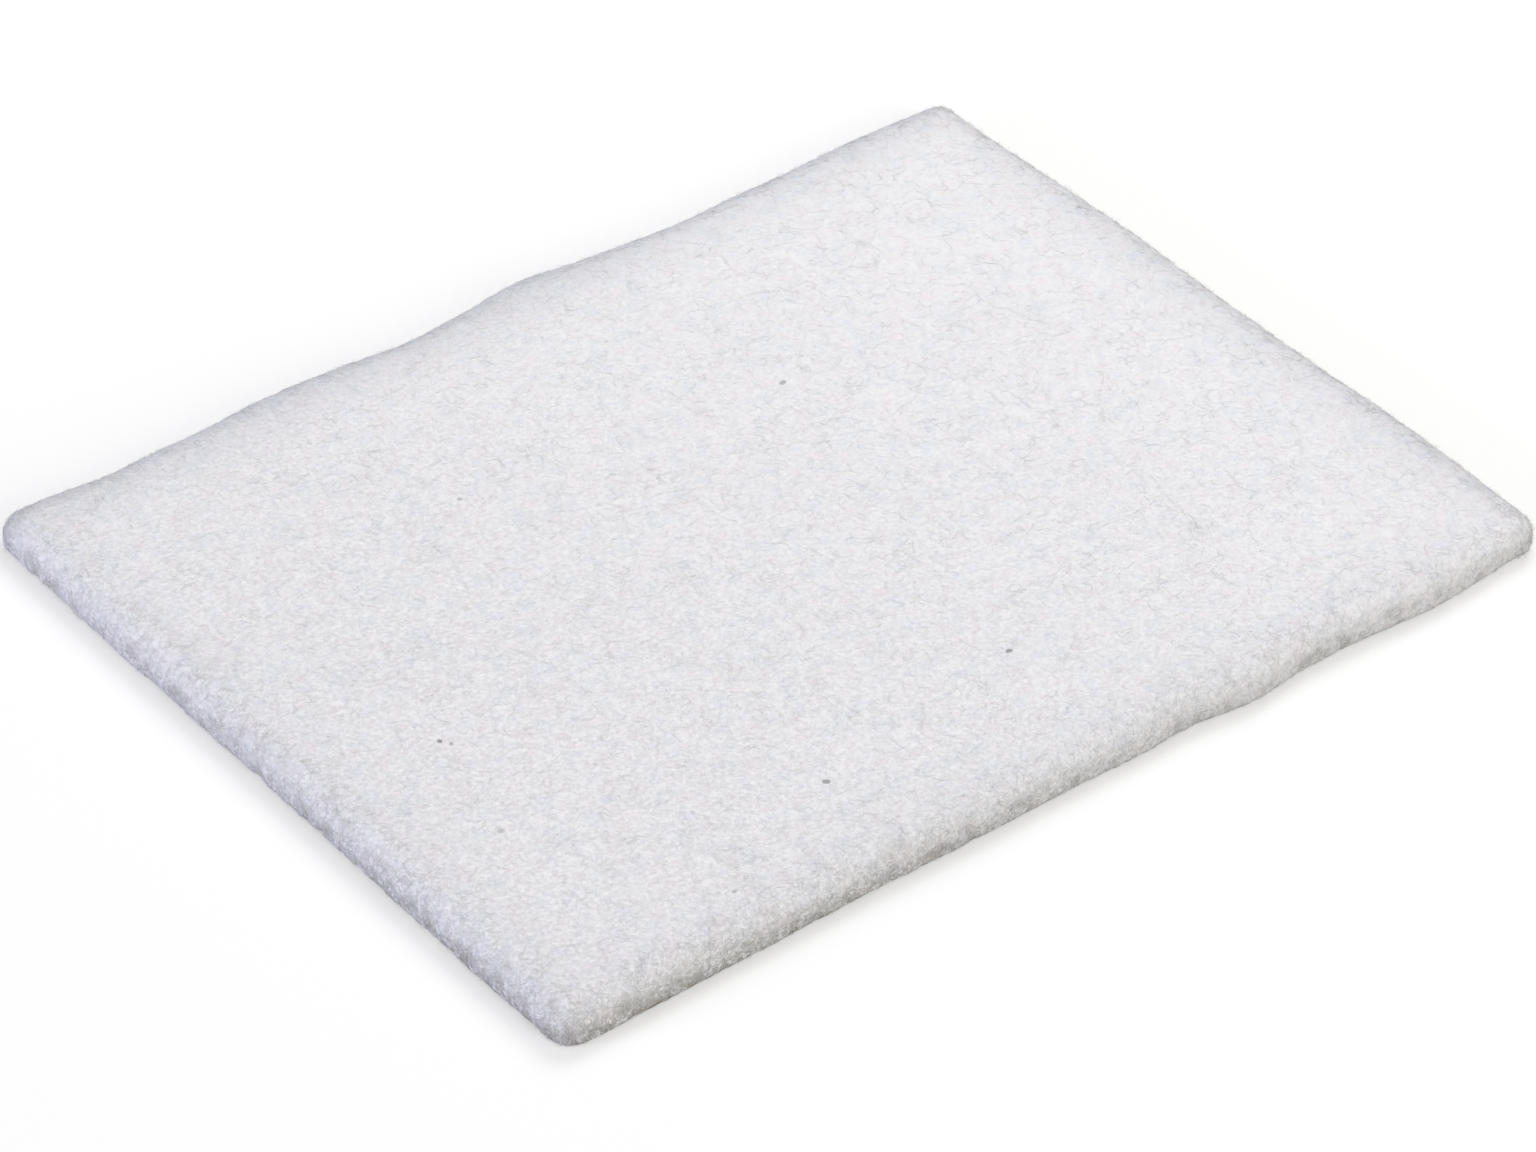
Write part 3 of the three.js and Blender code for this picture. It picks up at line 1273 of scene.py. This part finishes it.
    def build(self, form: PadForm, relief: WebRelief) -> bpy.types.Object:
        """Makes the lot's mesh: a triangle is carried along each centre line, and both ends are closed.

        Args:
            form: the pad's form.
            relief: the web's relief, which the fibres follow.

        Returns:
            The finished object with its map.
        """
        centre, normal = self.centre_lines(form, relief)
        tangent = unit(np.gradient(centre, axis=1))
        across = unit(np.cross(tangent, normal))
        upward = np.cross(across, tangent)
        along = np.linspace(-1, 1, self.rings)
        taper = self.radius * (1 - self.taper * np.abs(along) ** 3)
        turns = np.arange(3) * 2 * math.pi / 3 + math.pi / 6
        ring = (
            across[:, :, None, :] * np.cos(turns)[None, None, :, None]
            + upward[:, :, None, :] * np.sin(turns)[None, None, :, None]
        )
        points = (centre[:, :, None, :] + ring * taper[None, :, None, None]).reshape(-1, 3)
        index = np.arange(len(points)).reshape(self.count, self.rings, 3)
        wrapped = np.concatenate([index, index[:, :, :1]], axis=2)
        corners = [wrapped[:, :-1, :-1], wrapped[:, :-1, 1:], wrapped[:, 1:, 1:], wrapped[:, 1:, :-1]]
        quads = np.stack([corner.ravel() for corner in corners], axis=1)
        ends = np.concatenate([index[:, 0, ::-1], index[:, -1, :]])
        lot = new_piece(self.name, points, quads, ends)
        self.lay_map(lot)
        return lot

    def lay_map(self, lot: bpy.types.Object) -> None:
        """Gives each fibre its own cell of the map, its length across and its girth up.

        Args:
            lot: the piece.
        """
        margin, body = 0.06, 0.8
        columns = math.ceil(math.sqrt(self.count))
        fibre = np.arange(self.count)
        cell = np.stack([fibre % columns, fibre // columns], axis=1)[:, None, None, None, :]
        u = np.arange(self.rings) / (self.rings - 1)
        v = np.arange(4) / 3
        grid = np.stack(np.meshgrid(u, v, indexing="ij"), axis=-1)[None]
        corners = [grid[:, :-1, :-1], grid[:, :-1, 1:], grid[:, 1:, 1:], grid[:, 1:, :-1]]
        quads = (cell + margin + body * np.stack(corners, axis=3)) / columns
        first_tip = np.array([[0.90, 0.1], [0.96, 0.1], [0.93, 0.4]])
        last_tip = first_tip + [0, 0.45]
        tips = np.concatenate([cell[:, 0, 0] + first_tip, cell[:, 0, 0] + last_tip]) / columns
        add_map(lot, np.concatenate([quads.reshape(-1, 2), tips.reshape(-1, 2)]))


# The studio


@dataclass(frozen=True)
class PhotoView:
    """The camera: where it looks from, how far off it stands, and how its aim is offset."""

    azimuth: float = math.radians(-37.667)
    elevation: float = math.radians(38.545)
    distance: float = 1.2542
    aim_right: float = -0.27 * MM
    aim_up: float = -5.65 * MM
    focal_pixels: float = 6700.0
    image_width: float = 1536.0
    sensor_width: float = 36.0
    farthest_seen: float = 20.0

    def make(self) -> bpy.types.Object:
        """Stands the camera on its line of sight, turned to look back along it.

        Returns:
            The camera, which the scene then uses.
        """
        a, e = self.azimuth, self.elevation
        back = Vector((math.sin(a) * math.cos(e), -math.cos(a) * math.cos(e), math.sin(e)))
        right = Vector((math.cos(a), math.sin(a), 0.0))
        up = back.cross(right)
        lens = bpy.data.cameras.new("photo_view")
        lens.sensor_width = self.sensor_width
        lens.lens = self.focal_pixels / self.image_width * self.sensor_width
        lens.clip_end = self.farthest_seen
        camera = bpy.data.objects.new("photo_view", lens)
        place = back * self.distance + right * self.aim_right + up * self.aim_up
        camera.matrix_world = Matrix.Translation(place) @ Matrix((right, up, back)).transposed().to_4x4()
        bpy.context.scene.collection.objects.link(camera)
        bpy.context.scene.camera = camera
        return camera


@dataclass(frozen=True)
class Softbox:
    """One square area lamp."""

    name: str
    place: tuple[float, float, float]
    size: float
    power: float
    colour: Colour

    def make(self) -> bpy.types.Object:
        """Hangs the lamp and turns it to face the pad.

        Returns:
            The lamp's object.
        """
        lamp = bpy.data.lights.new(self.name, "AREA")
        lamp.size = self.size
        lamp.energy = self.power
        lamp.color = self.colour
        box = bpy.data.objects.new(self.name, lamp)
        box.location = self.place
        box.rotation_euler = Vector(self.place).to_track_quat("Z", "Y").to_euler()
        bpy.context.scene.collection.objects.link(box)
        return box


@dataclass(frozen=True)
class Studio:
    """A plain pale floor under a soft overhead light, with a white background."""

    floor_size: float = 6.0
    floor_bounce: Colour = (0.36, 0.345, 0.315)
    floor_pale: Colour = (0.60, 0.60, 0.60)
    floor_glow: float = 0.42
    dome_power: float = 0.42
    lamps: tuple[Softbox, ...] = (
        Softbox("key_softbox", (0.60, 0.37, 0.93), 0.6, 5.90, WHITE),
        Softbox("left_softbox", (-2.00, 0.30, 0.40), 0.8, 24.5, (0.79, 0.81, 1.0)),
        Softbox("front_softbox", (0.0, -2.00, 0.80), 1.1, 22.4, (1.0, 0.98, 0.91)),
    )

    @staticmethod
    def seen_directly(tree: bpy.types.NodeTree) -> bpy.types.NodeSocket:
        """Gives 1 for camera, mirror and see-through rays, and 0 for the light that falls on the pad.

        Args:
            tree: the node tree that it is for.

        Returns:
            The socket: the greatest of the three kinds' values.
        """
        rays = tree.nodes.new("ShaderNodeLightPath")
        total = rays.outputs["Is Camera Ray"]
        for name in ("Is Glossy Ray", "Is Transmission Ray"):
            either = tree.nodes.new("ShaderNodeMath")
            either.operation = "MAXIMUM"
            tree.links.new(total, either.inputs[0])
            tree.links.new(rays.outputs[name], either.inputs[1])
            total = either.outputs[0]
        return total

    def make_world(self) -> None:
        """Makes the world: white where it is seen, and a soft dome where it lights."""
        world = bpy.data.worlds.new("studio_dome")
        bpy.context.scene.world = world
        world.use_nodes = True
        tree = world.node_tree
        dome = tree.nodes["Background"]
        dome.inputs["Color"].default_value = rgba(WHITE)
        dome.inputs["Strength"].default_value = self.dome_power
        white = tree.nodes.new("ShaderNodeBackground")
        white.inputs["Color"].default_value = rgba(WHITE)
        choose = tree.nodes.new("ShaderNodeMixShader")
        tree.links.new(self.seen_directly(tree), choose.inputs[0])
        tree.links.new(dome.outputs[0], choose.inputs[1])
        tree.links.new(white.outputs[0], choose.inputs[2])
        tree.links.new(choose.outputs[0], tree.nodes["World Output"].inputs["Surface"])

    def make_floor(self) -> bpy.types.Object:
        """Makes the floor: pale with the pad's shadow where it is seen, duller where it bounces light.

        Returns:
            The floor's object.
        """
        half = self.floor_size / 2
        corners = np.array([[-half, -half, 0], [half, -half, 0], [half, half, 0], [-half, half, 0]])
        floor = new_piece("studio_floor", corners, np.array([[0, 1, 2, 3]]))
        bench = NodeBench("studio_floor")
        bounce = bench.add("BsdfDiffuse", {"Color": rgba(self.floor_bounce)}).outputs[0]
        pale = bench.add("BsdfDiffuse", {"Color": rgba(self.floor_pale)}).outputs[0]
        glow = bench.add("Emission", {"Color": rgba(WHITE), "Strength": self.floor_glow}).outputs[0]
        shown = bench.add("AddShader", {0: pale, 1: glow}).outputs[0]
        choose = bench.add("MixShader", {0: self.seen_directly(bench.tree), 1: bounce, 2: shown})
        bench.feed(bench.output.inputs["Surface"], choose.outputs[0])
        floor.data.materials.append(bench.material)
        return floor

    def make(self) -> None:
        """Builds the floor, the world and the lamps."""
        self.make_world()
        self.make_floor()
        for lamp in self.lamps:
            lamp.make()
        bpy.context.scene.view_settings.view_transform = "Standard"


@dataclass(frozen=True)
class ScouringPad:
    """The whole pad: its web and the loose fibres over both faces."""

    form: PadForm
    relief: WebRelief = WebRelief()
    lots: tuple[FibreLot, ...] = (
        FibreLot("upper_fibres_1", Face.UPPER, 101, edge_share=0.10),
        FibreLot("upper_fibres_2", Face.UPPER, 102, edge_share=0.10),
        FibreLot(
            "edge_fibres",
            Face.UPPER,
            103,
            count=4200,
            edge_share=1.0,
            radius=0.036 * MM,
            shortest=2.0 * MM,
            longest=5.5 * MM,
            lift=(-0.03 * MM, 0.08 * MM),
            end_rise=0.14 * MM,
        ),
        FibreLot(
            "rim_fuzz",
            Face.UPPER,
            105,
            count=3400,
            edge_share=1.0,
            edge_reach=(0.30, 0.95),
            rings=5,
            radius=0.026 * MM,
            shortest=1.0 * MM,
            longest=3.2 * MM,
            end_rise=0.08 * MM,
            free_rise=(0.15 * MM, 0.85 * MM),
        ),
        FibreLot("lower_fibres", Face.LOWER, 104, count=4000),
    )
    face_finish: FibreFinish = FibreFinish("nylon_fibre")
    # Painted shade: a darker copy of the fibres' finish, for the fibres on the cut edge.
    shaded_fibre_finish: FibreFinish = FibreFinish(
        "shaded_nylon_fibre", clean=(0.80, 0.80, 0.81), dusty=(0.70, 0.695, 0.695)
    )

    def build(self) -> list[bpy.types.Object]:
        """Builds and dresses every piece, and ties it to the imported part.

        Returns:
            The pieces, the web first.
        """
        web = WebSlab(self.form, self.relief).build()
        web.data.materials.append(WebFinish().make())
        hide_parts(PAD_NODE)
        face_fibres, shaded_fibres = self.face_finish.make(), self.shaded_fibre_finish.make()
        pieces = [web]
        for lot in self.lots:
            piece = lot.build(self.form, self.relief)
            # The cut edge's fibres take the darker, painted-shade copy.
            piece.data.materials.append(shaded_fibres if lot.edge_share == 1.0 else face_fibres)
            pieces.append(piece)
        grit = SpeckLot().build(self.form, self.relief)
        grit.data.materials.append(SpeckFinish().make())
        pieces.append(grit)
        for piece in pieces:
            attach(piece, PAD_BODY)
        return pieces


def main() -> None:
    """Builds the camera, the studio and the pad."""
    logging.basicConfig(level=logging.INFO, format="%(name)s: %(message)s")
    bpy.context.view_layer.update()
    low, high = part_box(PAD_NODE)
    PhotoView().make()
    Studio().make()
    form = PadForm(EdgeSection(thickness=high[2] - low[2]))
    for piece in ScouringPad(form).build():
        size = [round(edge / MM, 1) for edge in piece.dimensions]
        LOG.info("%s: %d faces, %s mm", piece.name, len(piece.data.polygons), size)


if __name__ == "__main__":
    main()
